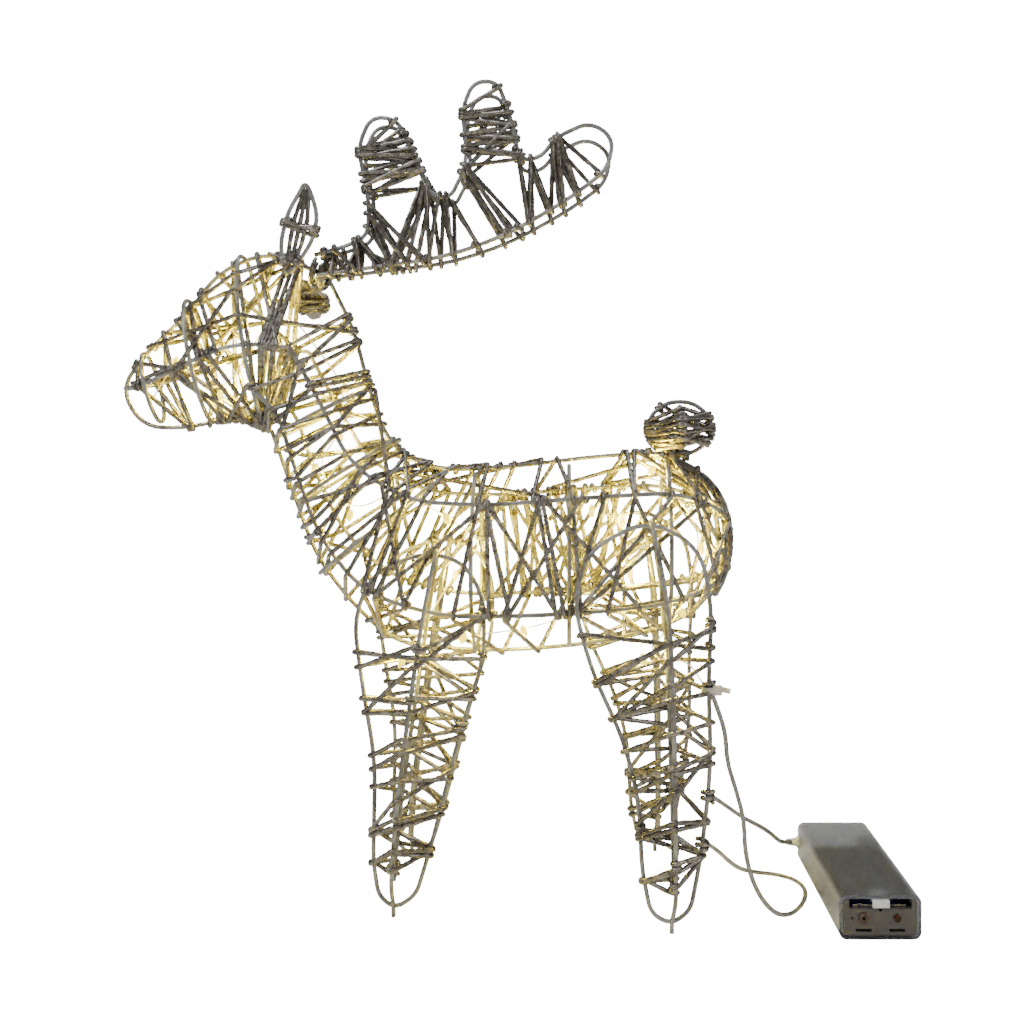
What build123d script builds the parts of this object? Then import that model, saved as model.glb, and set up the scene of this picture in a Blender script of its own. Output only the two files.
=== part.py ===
from build123d import *
import math
import os

# Battery-lit table reindeer: a cage of round frame wire, wound with strand, lit from inside by a
# string of bulbs that a box of two AA cells feeds through a thin lead. All lengths are in mm.
# The shapes are drawn about the reindeer's own middle plane, y = 0, with the nose towards -X and the
# left side towards -Y, and everything is moved together when it is written, so that the origin is
# under the middle of the whole object, on the surface that it stands on.

WIRE = 2.2  # frame wire diameter
STRAND = 2.0  # wound strand diameter
SOFT_CORNER = 0.45  # share of the shorter run that a free bend takes up on each side of its point
STRAND_BEND = 2.0  # radius of the strand where it turns round a frame wire

# Middle-plane outlines as (x, z)
SPINE = [(-117, 302), (-105, 278), (-97, 247), (-90, 227), (-79, 213.5), (-58, 208), (-24, 210), (16, 215),
         (50, 217), (73, 204), (81.5, 178), (75, 150), (62, 136)]
BELLY = [(64, 138), (44, 128), (6, 121), (-40, 118), (-84, 122), (-106, 142), (-124, 166), (-134, 194),
         (-146, 228)]
HEAD = [(-118, 304), (-146, 317), (-172, 307), (-188, 285), (-206, 269), (-221, 248.5), (-210, 229.5),
        (-187, 229), (-164, 235), (-147, 229)]
# Side wires as (x, distance from the middle plane, z)
CHEEK = [(-218, 2.2, 248.5), (-204, 11, 251), (-184, 19, 260), (-158, 24, 270), (-132, 22, 268)]
UPPER_RAIL = [(-132, 22, 268), (-116, 21, 238), (-102, 28, 212), (-74, 36, 195), (-36, 38, 193),
              (12, 39, 197), (52, 35, 199), (75, 19, 190), (82.5, 3, 179)]
LOWER_RAIL = [(-151, 18, 248), (-138, 20, 236), (-130, 21, 210), (-116, 28, 176), (-94, 36, 152),
              (-58, 38, 141), (-6, 39, 142), (44, 37, 146), (71, 22, 153), (79.5, 3, 161)]

# Hoops as centre (x, z), half length along the middle plane, half width, tilt of the hoop's plane
BODY_HOOPS = {
    "chest_hoop": ((-92, 180), 38, 36, 52),
    "shoulder_hoop": ((-44, 163), 45, 40, 0),
    "waist_hoop": ((2, 166), 46, 41, 0),
    "hip_hoop": ((50, 171), 44, 38, 0),
}
NECK_HOOPS = [((-121, 236), 25, 22, 63), ((-107, 208), 30, 28, 58)]
HEAD_HOOPS = {
    "brow_hoop": ((-155, 275), 41, 25, -8),
    "face_hoop": ((-181, 262), 32, 20, -12),
    "muzzle_hoop": ((-205, 249), 18, 12, -14),
}

# Legs: a closed loop seen from the side, as (x, z), with the arch first, and the height of its foot
REAR_LOOP = [(38, 187), (10, 172), (4, 148), (12, 118), (27, 86), (34, 58), (35, 28), (39, 9), (48, 4),
             (57, 10), (62, 34), (67, 74), (66, 112), (68, 146), (63, 174)]
REAR_RIB = [(40, 186), (47, 148), (49, 98), (50, 46), (50, 15), (48.5, 5), (48.5, 0)]
FRONT_LOOP = [(-66, 171), (-90, 162), (-99, 140), (-95, 108), (-89, 74), (-90, 26), (-87.5, 10),
              (-80, 4), (-70, 10), (-62, 36), (-50, 84), (-38, 122), (-38, 150), (-48, 167)]
FRONT_RIB = [(-60, 170), (-66, 138), (-73, 90), (-79, 44), (-81, 15), (-80.5, 5), (-80.5, 0)]
REAR_STANCE = (40, 54)  # distance of the leg's middle from the middle plane at its top and its foot
FRONT_STANCE = (36, 35)
REAR_TOP = 187
FRONT_TOP = 171
WELD = 0.2  # how far welded wires run into each other
ARCH_HALF = 6  # half width of the hairpin where it passes over the top of the side loop
LEG_DEPTH = [(0, 0), (15, 5), (46, 9), (98, 14), (148, 15), (187, 5)]  # half depth at each height

# Antlers: an open outline as (x, z) from the root's underside round the three tines
ANTLER = [(-122, 304), (-92, 308), (-58, 312.5), (-28, 323), (2, 340), (20.5, 354), (23.5, 369), (12, 377),
          (-4, 370), (-12, 360), (-22, 359), (-27, 382), (-33, 397.5), (-44.5, 397.5), (-50, 385),
          (-47.5, 358), (-56, 341), (-66, 343), (-74, 362), (-82, 380), (-95, 381.5), (-101.5, 367),
          (-96, 340), (-96.5, 323), (-108, 318), (-123, 314)]
ANTLER_ROOT_Y = 7.5  # distance of the root from the middle plane
ANTLER_SPREAD = 0.078  # how much further out it is for each mm towards the rear
EAR = [(-135, 303), (-138, 317), (-134, 333), (-128, 343), (-125.3, 348), (-122.5, 342.5), (-119.5, 332),
       (-122, 320), (-130, 308)]
EAR_MIDDLE = [(303, -134), (317, -130.5), (332, -126.8), (343, -125.3)]  # x at each height
EAR_HALF_WIDTH = [(303, 2), (317, 7.5), (332, 7.3), (343, 3)]
EAR_Y = 16
EAR_TILTS = {"left": 4, "right": 112}  # degrees that each ear leans out from upright
EAR_SWINGS = {"left": 0, "right": 16}  # degrees that each ear is turned towards the nose
EAR_FOOT_X = -134
EAR_FOOT_Z = 304
TAIL_CENTRE = (57, 0, 229)
TAIL_LOOPS = [(16, 13.5, 0), (13, 11, 90)]  # half length, half height, turn about the upright axis

# Windings: turns of strand
BODY_TURNS = 17
NECK_TURNS = 8
HEAD_TURNS = 9
LEG_TURNS = 13
TINE_TURNS = 6
BEAM_TURNS = 10
EAR_TURNS = 6
TAIL_TURNS = 4

# Light string
STRING_WIRE = 0.8
BULB_LENGTH = 5.0
BULB_DIAMETER = 3.2
STRING = [(-206, 2, 243), (-192, -6, 262), (-173, 5, 246), (-163, 14, 263), (-140, -6, 292),
          (-111, 10, 250), (-115, 16, 226), (-122, -12, 210), (-103, -22, 188), (-80, -20, 200),
          (-57, -24, 187), (-40, 6, 171), (-57, 28, 153), (-77, -32, 120), (-49, -20, 129),
          (-20, -12, 131), (12, 26, 134), (34, 31, 154), (30, 31, 180), (13, -17, 190), (43, -3, 209),
          (60, -22, 189), (69, 10, 169), (56, -23, 142), (37, -33, 121), (57, -46, 122), (64, -47.5, 111)]

# Lead: a flat two-core lead, drawn round
LEAD = 2.4
LOOP_ROUTE = [(66.5, -47.5, 110), (69.5, -48.5, 102), (73.5, -49.5, 90), (74, -50, 77), (78.5, -50.5, 63),
              (81.8, -50.5, 50), (82.2, -50, 37), (85, -49.5, 24), (90.5, -47.5, 12.5), (98, -43, 4),
              (106, -35.5, 1.2), (112.5, -25.5, 1.2), (117, -14, 1.2), (118.8, -2, 1.2), (116, 9, 1.2),
              (108.5, 16, 1.2), (98.5, 16.5, 2), (90, 9, 6), (84, -5, 13), (78, -20, 21.5),
              (72, -36, 31), (65.6, -49.6, 39)]
BOX_ROUTE = [(67.5, -51, 61), (73, -42, 55.5), (80, -29, 47.5), (87.5, -15, 39.5), (95.5, -1, 32),
             (103, 12, 24.5), (109, 23.5, 17), (113.5, 32.5, 11.8), (120.5, 36, 11)]
TIE_X = 66.3  # where the tie holds the lead to the rear left leg
TIE_HEIGHT = 109
TIE_RADIUS = 3.6
TIE_THICKNESS = 0.9
TIE_WIDTH = 2.5
TIE_LOCK = (4.2, 3.2, 4.4)
TIE_TAIL = 4.5  # of the cut end that stands out of the lock

# Battery box
BOX_MIDDLE_X = 141.5
BOX_FRONT_Y = -61.0
BOX_LENGTH = 103.0
BOX_WIDTH = 37.0
BOX_HEIGHT = 20.0
BOX_CORNER = 3.5
BOX_WALL = 1.6
SLIDE_GAP = 0.3  # between the holder and the housing
HOLDER_LENGTH = 67.0
HOLDER_WALL = 1.1
END_PLATE = 2.4
CELL_DIAMETER = 14.5
CELL_LENGTH = 50.5
CELL_PITCH = 15.0
SPRING_LENGTH = 5.0
SPRING_WIRE = 0.6
CONTACT = 0.4  # thickness of the contact plates
TONGUE_WIDTH = 7.5
TONGUE_LENGTH = 12.0
TONGUE_THICKNESS = 1.2
TONGUE_PROUD = 1.6
THUMB_PAD = 3.4  # height of the pad at the tongue's tip
WINDOW_HEIGHT = 4.2  # of the opening above the end plate
SLOT = (7.0, 1.3)  # width and height of the two slots in the end plate
BOARD = (28.0, 16.0, 1.2)
SWITCH_TRAVEL = 4.0
LEAD_ENTRY_Y = 36.0
LEAD_ENTRY_Z = 11.0
GLAND_LENGTH = 6.5  # of the taper outside the housing


# --- wire shapes ---------------------------------------------------------------------------------

def bend(before, corner, after, radius=None):
    """The start, middle and end of the arc that rounds one corner, and its radius."""
    into, out = corner - before, after - corner
    half_turn = math.radians(into.get_angle(out)) / 2
    longest = SOFT_CORNER * min(into.length, out.length)
    reach = longest if radius is None else min(longest, radius * math.tan(half_turn))
    into, out = into.normalized(), out.normalized()
    size = reach / math.tan(half_turn)
    middle = corner + (out - into).normalized() * (size * (1 / math.cos(half_turn) - 1))
    return corner - into * reach, middle, corner + out * reach, size


def rounded_path(points, closed=False, radius=None):
    """Straight runs joined by tangent arcs."""
    points = [Vector(*p) for p in points]
    n = len(points)
    corners = range(n) if closed else range(1, n - 1)
    bends = [bend(points[i - 1], points[i], points[(i + 1) % n], radius)[:3] for i in corners]
    if closed:
        starts = bends
        ends = bends[1:] + bends[:1]
        edges = []
    else:
        starts = bends
        ends = bends[1:] + [(points[-1],)]
        edges = [Line(points[0], bends[0][0])]
    for (start, middle, end), following in zip(starts, ends):
        edges.append(ThreePointArc(start, middle, end))
        edges.append(Line(end, following[0]))
    return Wire(edges)


def rod(points, diameter, closed=False, radius=None):
    """Round wire bent along the points."""
    path = rounded_path(points, closed, radius)
    section = Plane(origin=path @ 0, z_dir=path % 0) * Circle(diameter / 2)
    return sweep(section, path=path)


def hoop_points(centre, half_length, half_width, tilt, count=8):
    """Corners round an oval hoop; its length lies in the middle plane, tilted from upright."""
    lean = math.radians(tilt)
    corners = []
    for i in range(count):
        turn = 2 * math.pi * (i + 0.5) / count
        up, across = half_length * math.cos(turn), half_width * math.sin(turn)
        corners.append((centre[0] + up * math.sin(lean), across, centre[1] + up * math.cos(lean)))
    swell = 1 / math.cos(math.pi / count) ** 0.5
    middle = Vector(centre[0], 0, centre[1])
    return [tuple(middle + (Vector(*c) - middle) * swell) for c in corners]


def flat(outline, y=0.0):
    return [(x, y, z) for x, z in outline]


def on_side(points, side):
    """The points with their distance from the middle plane turned towards one side."""
    return [(x, side * y, z) for x, y, z in points]


def value_at(table, position):
    """The value of a table of (position, value), straight between its rows."""
    table = sorted(table)
    for (a, first), (b, second) in zip(table, table[1:]):
        if position <= b:
            share = max(0.0, (position - a) / (b - a))
            return first + (second - first) * share
    return table[-1][1]


def along(points, share):
    """The point at a share of the length of a run of points."""
    points = [Vector(*p) for p in points]
    lengths = [(b - a).length for a, b in zip(points, points[1:])]
    left = share * sum(lengths)
    for a, b, length in zip(points, points[1:], lengths):
        if left <= length:
            return a + (b - a) * (left / length)
        left -= length
    return points[-1]


def winding(ribs, turns, start=0.0, end=1.0):
    """Corners of a strand that is wound round a ring of ribs while it moves along them."""
    count = len(ribs)
    corners = []
    for i in range(int(turns * count) + 1):
        share = start + (end - start) * i / (turns * count)
        ring = [along(rib, share) for rib in ribs]
        middle = sum(ring, Vector()) / count
        corner = ring[i % count]
        out = (corner - middle).normalized()
        corners.append(tuple(corner + out * (WIRE + STRAND) / 2))
    return corners


# --- frame wires ---------------------------------------------------------------------------------

def middle_wires():
    return {
        "spine_wire": rod(flat(SPINE), WIRE),
        "belly_wire": rod(flat(BELLY), WIRE),
        "head_wire": rod(flat(HEAD), WIRE),
    }


def side_wires():
    wires = {}
    for name, side in (("left", -1), ("right", 1)):
        wires[f"cheek_wire_{name}"] = rod(on_side(CHEEK, side), WIRE)
        wires[f"upper_rail_{name}"] = rod(on_side(UPPER_RAIL, side), WIRE)
        wires[f"lower_rail_{name}"] = rod(on_side(LOWER_RAIL, side), WIRE)
    return wires


def hoops():
    wires = {}
    for name, hoop in {**BODY_HOOPS, **HEAD_HOOPS}.items():
        wires[name] = rod(hoop_points(*hoop), WIRE, closed=True)
    wires["neck_hoops"] = Compound([rod(hoop_points(*hoop), WIRE, closed=True) for hoop in NECK_HOOPS])
    return wires


def leg_middle(stance, top, z):
    """Distance of a leg's middle from the middle plane at a height."""
    return stance[1] + (stance[0] - stance[1]) * z / top


def leg_ribs(loop, rib, stance, top):
    """The four ribs that a leg's strand is wound round, each from the top down."""
    lowest = loop.index(min(loop, key=lambda p: p[1]))
    front, rear = loop[1:lowest + 1], [loop[0]] + loop[:lowest - 1:-1]
    sides = [[(x, leg_middle(stance, top, z), z) for x, z in half] for half in (front, rear)]
    faces = [[(x, leg_middle(stance, top, z) + sign * value_at(LEG_DEPTH, z), z) for x, z in rib]
             for sign in (1, -1)]
    return [sides[0], faces[0], sides[1], faces[1]]


def leg(loop, rib, stance, top, side):
    """The closed side loop, the hairpin that crosses it and ends in the foot, and the strand."""
    loop_points = [(x, leg_middle(stance, top, z), z) for x, z in loop]
    outer = [(x, leg_middle(stance, top, z) + value_at(LEG_DEPTH, z), z) for x, z in rib[::-1]]
    inner = [(x, leg_middle(stance, top, z) - value_at(LEG_DEPTH, z), z) for x, z in rib[1:-2]]
    outer[:2] = [(x, leg_middle(stance, top, 0), z) for x, z in rib[:-3:-1]]
    over = rounded_path(loop_points, closed=True).bounding_box().max.Z + WIRE - WELD
    arch = [(rib[0][0], leg_middle(stance, top, top) + half, over) for half in (ARCH_HALF, -ARCH_HALF)]
    hairpin = outer[:-1] + arch + inner
    ribs = leg_ribs(loop, rib, stance, top)
    return (
        rod(on_side(loop_points, side), WIRE, closed=True),
        rod(on_side(hairpin, side), WIRE),
        rod(on_side(winding(ribs, LEG_TURNS, 0.3, 0.93), side), STRAND, radius=STRAND_BEND),
    )


def legs():
    wires = {}
    for name, side in (("left", -1), ("right", 1)):
        for end, shape in (("front", (FRONT_LOOP, FRONT_RIB, FRONT_STANCE, FRONT_TOP)),
                           ("rear", (REAR_LOOP, REAR_RIB, REAR_STANCE, REAR_TOP))):
            made = leg(*shape, side)
            wires[f"{end}_leg_loop_{name}"] = made[0]
            wires[f"{end}_leg_hairpin_{name}"] = made[1]
            wires[f"{end}_leg_strand_{name}"] = made[2]
    return wires


def antler_y(x):
    return ANTLER_ROOT_Y + ANTLER_SPREAD * (x - ANTLER[0][0])


def flat_winding(first, second, turns):
    """A strand wound round two edges of a flat outline, over one face and back under the other."""
    gap = (WIRE + STRAND) / 2
    edges = []
    for edge, sign in ((first, 1), (first, -1), (second, -1), (second, 1)):
        edges.append([(x, antler_y(x) + sign * gap, z) for x, z in edge])
    corners = []
    for i in range(4 * turns + 1):
        share = i / (4 * turns)
        a, b = along(edges[i % 4], share), along(edges[(i + 2) % 4], share)
        out = Vector(a.X - b.X, 0, a.Z - b.Z).normalized()
        corners.append(tuple(a + out * gap))
    return corners


def antler_strands():
    """Pairs of facing edges of the antler's outline, root to tip, and the turns round each."""
    front = ([(-96.5, 343), (-101, 368)], [(-67, 346), (-79, 373)], TINE_TURNS)
    middle = ([(-48, 362), (-49, 386)], [(-23, 366), (-30, 390)], TINE_TURNS)
    beam = ([(-96.5, 322), (-92, 338), (-66, 344), (-51, 345), (-18, 360), (8, 375)],
            [(-98, 307), (-78, 310), (-56, 313), (-36, 320), (2, 340), (20, 356)], BEAM_TURNS)
    return [flat_winding(*pair) for pair in (front, middle, beam)]


def antlers():
    wires = {}
    outline = [(x, antler_y(x), z) for x, z in ANTLER]
    for name, side in (("left", -1), ("right", 1)):
        wires[f"antler_wire_{name}"] = rod(on_side(outline, side), WIRE)
        strands = [rod(on_side(s, side), STRAND, radius=STRAND_BEND) for s in antler_strands()]
        wires[f"antler_strand_{name}"] = Compound(strands)
    return wires


def ears():
    wires, strands = {}, []
    for name, side in (("left", -1), ("right", 1)):
        foot = (EAR_FOOT_X, side * EAR_Y, EAR_FOOT_Z)
        leaning, swinging = Axis(foot, (1, 0, 0)), Axis(foot, (0, 0, 1))
        outline = rod(flat(EAR, side * EAR_Y), WIRE, closed=True)
        outline = outline.rotate(leaning, -side * EAR_TILTS[name])
        wires[f"ear_wire_{name}"] = outline.rotate(swinging, side * EAR_SWINGS[name])
        rings = []
        for i in range(EAR_TURNS):
            z = EAR_FOOT_Z + 6 + i * 5.6
            deep = (WIRE + STRAND) / 2
            half = value_at(EAR_HALF_WIDTH, z) + deep
            x = value_at(EAR_MIDDLE, z)
            ring = [(x - half, side * EAR_Y - deep, z - 1), (x + half, side * EAR_Y - deep, z + 1),
                    (x + half, side * EAR_Y + deep, z + 1), (x - half, side * EAR_Y + deep, z - 1)]
            rings.append(rod(ring, STRAND, closed=True, radius=STRAND_BEND))
        for ring in rings:
            ring = ring.rotate(leaning, -side * EAR_TILTS[name])
            strands.append(ring.rotate(swinging, side * EAR_SWINGS[name]))
    wires["ear_strands"] = Compound(strands)
    return wires


def tail():
    centre = Pos(*TAIL_CENTRE)
    wires, rings = [], []
    for half_length, half_height, turn in TAIL_LOOPS:
        flat_hoop = hoop_points((0, 0), half_height, half_length, 0)
        wires.append(centre * (Rot(0, 0, turn + 90) * rod(flat_hoop, WIRE, closed=True)))
    for i in range(TAIL_TURNS):
        z = TAIL_CENTRE[2] + (i - (TAIL_TURNS - 1) / 2) * 6
        share = math.sqrt(1 - ((z - TAIL_CENTRE[2]) / 18) ** 2)
        reach = 16 * share + WIRE
        corners = []
        for k in range(8):
            turn = 2 * math.pi * k / 8
            corners.append((TAIL_CENTRE[0] + reach * math.cos(turn), reach * math.sin(turn),
                            z + 2 * math.cos(turn + i)))
        rings.append(rod(corners, STRAND, closed=True))
    return {"tail_loops": Compound(wires), "tail_strand": Compound(rings)}


def body_strands():
    """The long windings of the head, neck and body."""
    left_upper, right_upper = on_side(UPPER_RAIL, -1), on_side(UPPER_RAIL, 1)
    left_lower, right_lower = on_side(LOWER_RAIL, -1), on_side(LOWER_RAIL, 1)
    spine, belly = flat(SPINE[:-2]), flat(BELLY[::-1])
    ribs = [spine, left_upper, left_lower, belly, right_lower, right_upper]
    crown, jaw = flat(HEAD[:6]), flat(HEAD[:4:-1])
    cheeks = [on_side(CHEEK[::-1], side) for side in (-1, 1)]
    head = [crown, cheeks[0], jaw, cheeks[1]]
    return {
        "neck_strand": rod(winding(ribs, NECK_TURNS, 0.04, 0.36), STRAND, radius=STRAND_BEND),
        "body_strand": rod(winding(ribs, BODY_TURNS, 0.38, 0.95), STRAND, radius=STRAND_BEND),
        "head_strand": rod(winding(head, HEAD_TURNS, 0.12, 0.9), STRAND, radius=STRAND_BEND),
    }


# --- lights, lead and tie ------------------------------------------------------------------------

def bulb(place):
    """A bulb's clear bead: a short rod with round ends."""
    straight = BULB_LENGTH - BULB_DIAMETER
    bead = Cylinder(BULB_DIAMETER / 2, straight)
    for end in (-1, 1):
        bead += Pos(0, 0, end * straight / 2) * Sphere(BULB_DIAMETER / 2)
    return Pos(*place) * bead


def lights():
    hanging = [(x, y, z - STRING_WIRE) for x, y, z in STRING[1:-2]]
    return {
        "light_string": rod(STRING, STRING_WIRE),
        "light_bulbs": Compound([bulb(place) for place in hanging]),
    }


FREE_LEADS = {"loop_lead": LOOP_ROUTE, "box_lead": BOX_ROUTE}


def leads():
    """The free stretches of lead, with what shows that each is sound and bends gently."""
    made = {name: rod(route, LEAD) for name, route in FREE_LEADS.items()}
    for name, route in FREE_LEADS.items():
        points = [Vector(*p) for p in route]
        radii = [round(bend(*corner)[3], 1) for corner in zip(points, points[1:], points[2:])]
        length = rounded_path(route).length
        share = made[name].volume / (math.pi * LEAD ** 2 / 4 * length)
        print(f"{name}: {length:.1f} long, volume {share:.3f} of section times length, radii {radii}")
    return made


def tie():
    """A cable tie round the leg's rear wire and the lead, with its lock and a cut tail."""
    y = -leg_middle(REAR_STANCE, REAR_TOP, TIE_HEIGHT)
    band = Cylinder(TIE_RADIUS, TIE_WIDTH) - Cylinder(TIE_RADIUS - TIE_THICKNESS, TIE_WIDTH)
    lock = Pos(TIE_RADIUS, -TIE_RADIUS / 2, 0) * Box(*TIE_LOCK)
    reach = TIE_RADIUS + TIE_LOCK[0] / 2 + TIE_TAIL / 2
    tail = Pos(reach - 0.4, -TIE_RADIUS / 2, 0) * Rot(0, 12, -6) * Box(TIE_TAIL, TIE_THICKNESS, TIE_WIDTH)
    return {"cable_tie": Pos(TIE_X, y, TIE_HEIGHT) * (band + lock + tail)}


# --- battery box ---------------------------------------------------------------------------------

CAVITY_WIDTH = BOX_WIDTH - 2 * BOX_WALL
CAVITY_HEIGHT = BOX_HEIGHT - 2 * BOX_WALL
HOLDER_WIDTH = CAVITY_WIDTH - 2 * SLIDE_GAP
HOLDER_BOTTOM = BOX_WALL + SLIDE_GAP
HOLDER_HEIGHT = CAVITY_HEIGHT - 2 * SLIDE_GAP
BOX_REAR_Y = BOX_FRONT_Y + BOX_LENGTH
CELL_Z = HOLDER_BOTTOM + HOLDER_WALL + CELL_DIAMETER / 2 + 0.1
CELL_FRONT_Y = BOX_FRONT_Y + END_PLATE + CONTACT + SPRING_LENGTH + 0.6
TONGUE_ROOT_Y = BOX_FRONT_Y - TONGUE_PROUD + TONGUE_LENGTH
TONGUE_TOP = BOX_HEIGHT - BOX_WALL - SLIDE_GAP
CORNER_ALIGN = (Align.CENTER, Align.MIN, Align.MIN)
SWITCH_Y = BOX_REAR_Y - 16
SWITCH_Z = BOX_HEIGHT / 2


def block(width, length, height, y, z, x=0.0):
    """A block centred across the box at x, from y and z upwards."""
    return Pos(BOX_MIDDLE_X + x, y, z) * Box(width, length, height, align=CORNER_ALIGN)


def housing():
    """The frosted sleeve: closed at the far end, open where the holder slides in."""
    shell = block(BOX_WIDTH, BOX_LENGTH, BOX_HEIGHT, BOX_FRONT_Y, 0)
    shell = fillet(shell.edges().filter_by(Axis.Y), BOX_CORNER)
    shell = fillet(shell.faces().sort_by(Axis.Y)[-1].edges(), 2.0)
    cavity = block(CAVITY_WIDTH, BOX_LENGTH - BOX_WALL, CAVITY_HEIGHT, BOX_FRONT_Y, BOX_WALL)
    shell -= fillet(cavity.edges().filter_by(Axis.Y), BOX_CORNER - BOX_WALL)
    slot_length = SWITCH_TRAVEL + 7.0
    slot = Pos(BOX_MIDDLE_X + BOX_WIDTH / 2 - BOX_WALL / 2, SWITCH_Y + SWITCH_TRAVEL / 2, SWITCH_Z)
    shell -= slot * Box(3 * BOX_WALL, slot_length, 4.0)
    entry = Pos(BOX_MIDDLE_X - BOX_WIDTH / 2 + BOX_WALL / 2, LEAD_ENTRY_Y, LEAD_ENTRY_Z)
    shell -= entry * Rot(0, 90, 0) * Cylinder(2.0, 3 * BOX_WALL)
    return shell


def holder():
    """The tray that carries the cells, with the end plate, the web and the tongue's seat."""
    tray = block(HOLDER_WIDTH, HOLDER_LENGTH, HOLDER_HEIGHT, BOX_FRONT_Y, HOLDER_BOTTOM)
    tray = fillet(tray.edges().filter_by(Axis.Y), BOX_CORNER - BOX_WALL - SLIDE_GAP)
    room_length = HOLDER_LENGTH - 2 * END_PLATE
    room = block(HOLDER_WIDTH - 2 * HOLDER_WALL, room_length, HOLDER_HEIGHT,
                 BOX_FRONT_Y + END_PLATE, HOLDER_BOTTOM + HOLDER_WALL)
    tray -= room
    web_length = BOX_FRONT_Y + HOLDER_LENGTH - END_PLATE - TONGUE_ROOT_Y
    tray += block(2.4, web_length, 2.5, TONGUE_ROOT_Y, CELL_Z + 4.05)
    tray += block(TONGUE_WIDTH, 2.0, TONGUE_TOP - CELL_Z - 6.4, TONGUE_ROOT_Y, CELL_Z + 6.4)
    front = BOX_FRONT_Y - END_PLATE
    tray -= block(HOLDER_WIDTH - 5, 2.5 * END_PLATE, WINDOW_HEIGHT + 1, front, TONGUE_TOP - WINDOW_HEIGHT)
    notch = Pos(BOX_MIDDLE_X, BOX_FRONT_Y, TONGUE_TOP - WINDOW_HEIGHT) * Rot(0, 45, 0)
    tray -= notch * Box(2, 2 * END_PLATE, 2)
    for x in (-CELL_PITCH / 2, CELL_PITCH / 2):
        tray -= terminal_place(x) * Cylinder(1.2, 3 * END_PLATE)
        tray -= block(SLOT[0], 2.5 * END_PLATE, SLOT[1], front, HOLDER_BOTTOM + 1.7, x)
    tray -= terminal_place(-CELL_PITCH / 2 - 5.2) * Cylinder(0.6, 3 * END_PLATE)
    return tray


def terminal_place(x):
    """Where a terminal goes through the end plate, with its axis along the box."""
    return Pos(BOX_MIDDLE_X + x, BOX_FRONT_Y + END_PLATE / 2, CELL_Z - 0.6) * Rot(90, 0, 0)


def latch_tongue():
    """The springy tongue at the top of the end plate, with a ridged thumb pad."""
    root = TONGUE_ROOT_Y - 0.15
    tip = BOX_FRONT_Y - TONGUE_PROUD
    z = TONGUE_TOP - TONGUE_THICKNESS
    tongue = block(TONGUE_WIDTH, root - tip, TONGUE_THICKNESS, tip, z)
    tongue += block(TONGUE_WIDTH, 1.2, THUMB_PAD, tip, TONGUE_TOP - THUMB_PAD)
    return fillet(tongue.edges().filter_by(Axis.X).group_by(Axis.Y)[0], 0.35)


def cell(x, turned):
    """One AA cell: the can, with a button at one end."""
    can = Cylinder(CELL_DIAMETER / 2, CELL_LENGTH - 1.2)
    can = fillet(can.edges(), 0.5)
    can += Pos(0, 0, (CELL_LENGTH - 1.2) / 2) * Cylinder(2.7, 1.2, align=(Align.CENTER,) * 2 + (Align.MIN,))
    place = Pos(BOX_MIDDLE_X + x, CELL_FRONT_Y + CELL_LENGTH / 2, CELL_Z)
    return place * Rot(90 if turned else -90, 0, 0) * can


def battery_cells():
    return Compound([cell(-CELL_PITCH / 2 + 0.05, False), cell(CELL_PITCH / 2 - 0.05, True)])


def coil_spring(x, y, towards):
    """A short contact spring, as a rising polygon of wire."""
    turns, sides, reach = 2.5, 8, 3.2
    corners = []
    for i in range(int(turns * sides) + 1):
        turn = 2 * math.pi * i / sides
        share = i / (turns * sides)
        corners.append((BOX_MIDDLE_X + x + reach * math.cos(turn),
                        y + towards * share * (SPRING_LENGTH - SPRING_WIRE),
                        CELL_Z + reach * math.sin(turn)))
    return rod(corners, SPRING_WIRE)


def contacts():
    """The end plate's two contacts, the bridge at the inner end, and a spring for each cell."""
    front = BOX_FRONT_Y + END_PLATE + 0.02
    rear = BOX_FRONT_Y + HOLDER_LENGTH - END_PLATE - CONTACT - 0.02
    plates = []
    for x in (-CELL_PITCH / 2, CELL_PITCH / 2):
        plates.append(block(9.0, CONTACT, 9.0, front, CELL_Z - 4.5, x))
    bridge = block(CELL_PITCH + 9.0, CONTACT, 8.0, rear, CELL_Z - 4.5)
    spring_gap = CONTACT + SPRING_WIRE / 2 + 0.03
    springs = [coil_spring(-CELL_PITCH / 2, front + spring_gap, 1),
               coil_spring(CELL_PITCH / 2, rear - spring_gap + CONTACT, -1)]
    return {"contact_plates": Compound(plates + [bridge]), "contact_springs": Compound(springs)}


def terminals():
    """The hollow eyelet and the solid rivet that show on the end plate."""
    eyelet = Cylinder(1.15, END_PLATE) + Pos(0, 0, END_PLATE / 2 + 0.3) * Cylinder(2.5, 0.6)
    eyelet -= Cylinder(0.7, 3 * END_PLATE)
    rivet = Cylinder(1.15, END_PLATE) + Pos(0, 0, END_PLATE / 2 + 0.4) * Cylinder(1.7, 0.8)
    return {
        "terminal_eyelet": terminal_place(-CELL_PITCH / 2) * eyelet,
        "terminal_rivet": terminal_place(CELL_PITCH / 2) * rivet,
    }


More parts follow.
